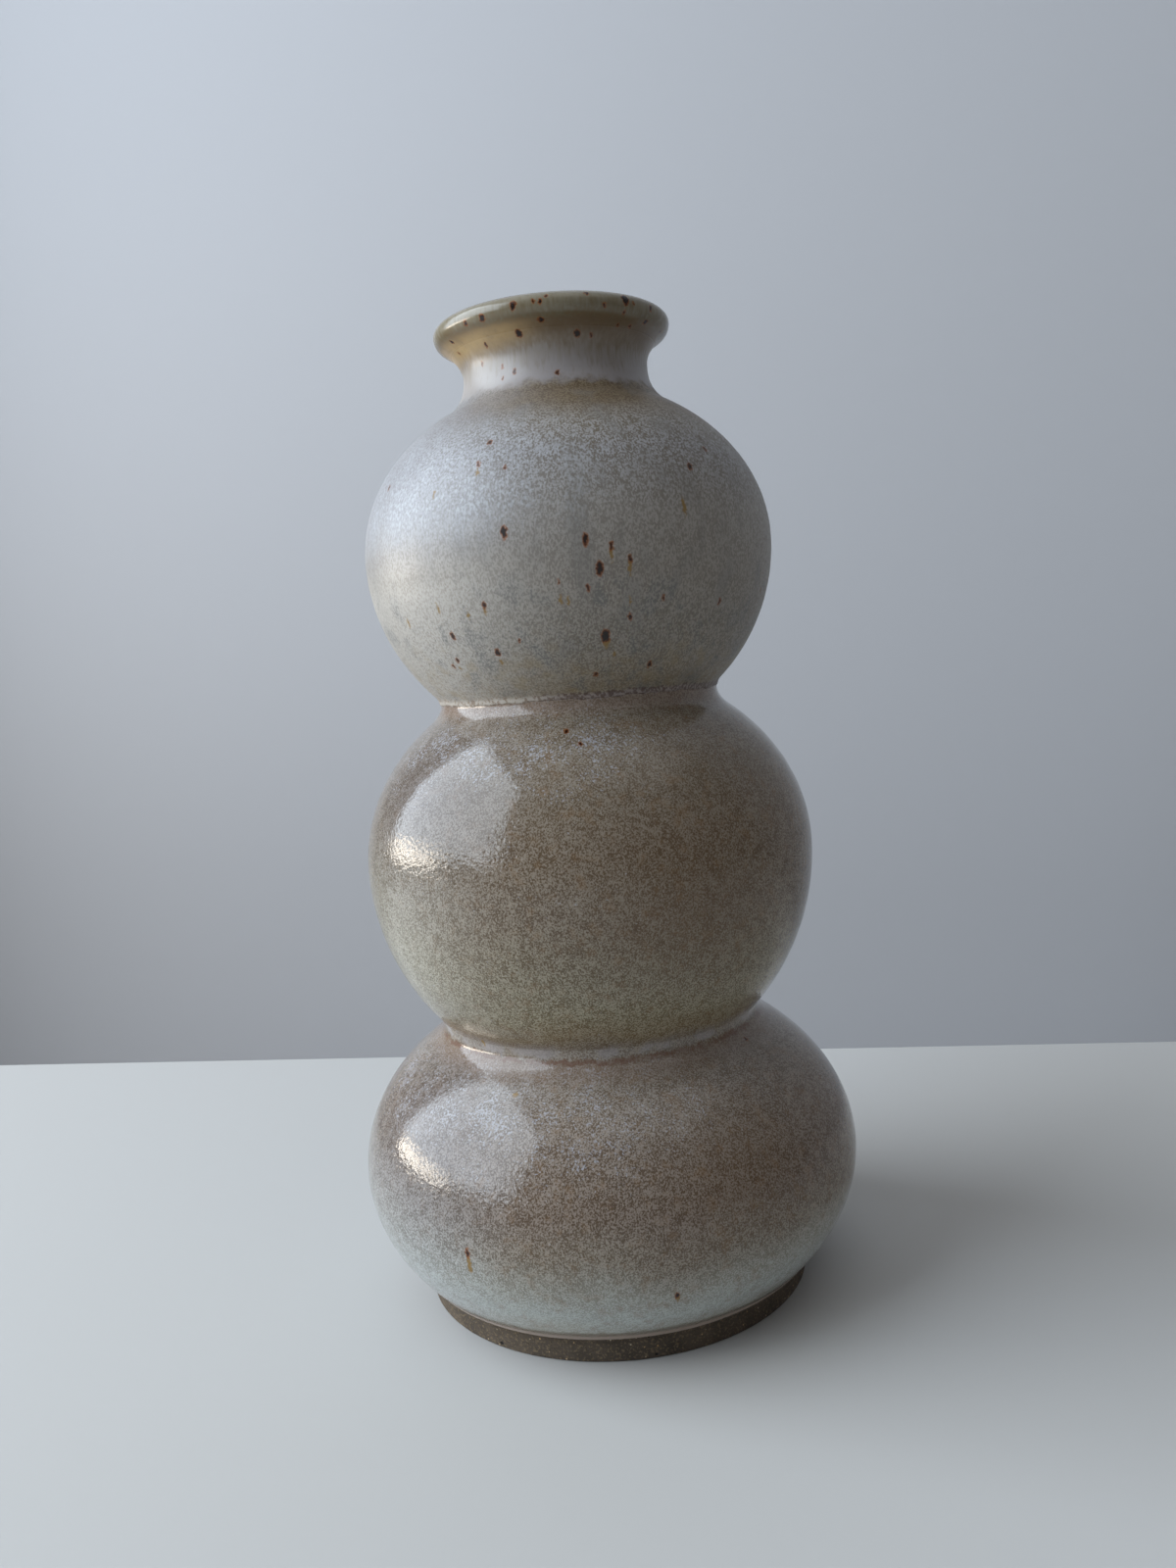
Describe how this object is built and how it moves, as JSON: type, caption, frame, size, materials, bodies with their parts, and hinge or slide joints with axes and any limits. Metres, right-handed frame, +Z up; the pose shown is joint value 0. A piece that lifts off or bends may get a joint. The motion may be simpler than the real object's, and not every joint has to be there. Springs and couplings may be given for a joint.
{
  "type": "bubble vase",
  "caption": "Tall stoneware vase of stacked round bulbs under a short flared neck with a rolled lip, on a bare foot ring, with satin and glossy glaze coats.",
  "frame": {"origin": "centre of the foot's underside, on the surface that the vase stands on", "axes": "+Z up the vase's axis to the lip, -Y towards the side that the picture shows, +X to that side's right"},
  "size_m": [0.1464, 0.1464, 0.28],
  "materials": {
    "bare_clay": "matte, gritty",
    "slip": "matte",
    "thrown_clay": "matte",
    "gloss_glaze": "gloss, fine pale flecks",
    "satin_glaze": "satin, iron specks",
    "liner_glaze": "gloss"
  },
  "bodies": {
    "root": {"foot_ring": "bare_clay", "foot_seam": "slip", "lower_bulb": "thrown_clay", "lower_seam": "slip", "middle_bulb": "thrown_clay", "upper_seam": "slip", "upper_bulb": "thrown_clay", "neck_seam": "slip", "neck_collar": "thrown_clay", "gloss_glaze": "gloss_glaze", "satin_glaze": "satin_glaze", "liner_glaze": "liner_glaze"}
  },
  "joints": []
}
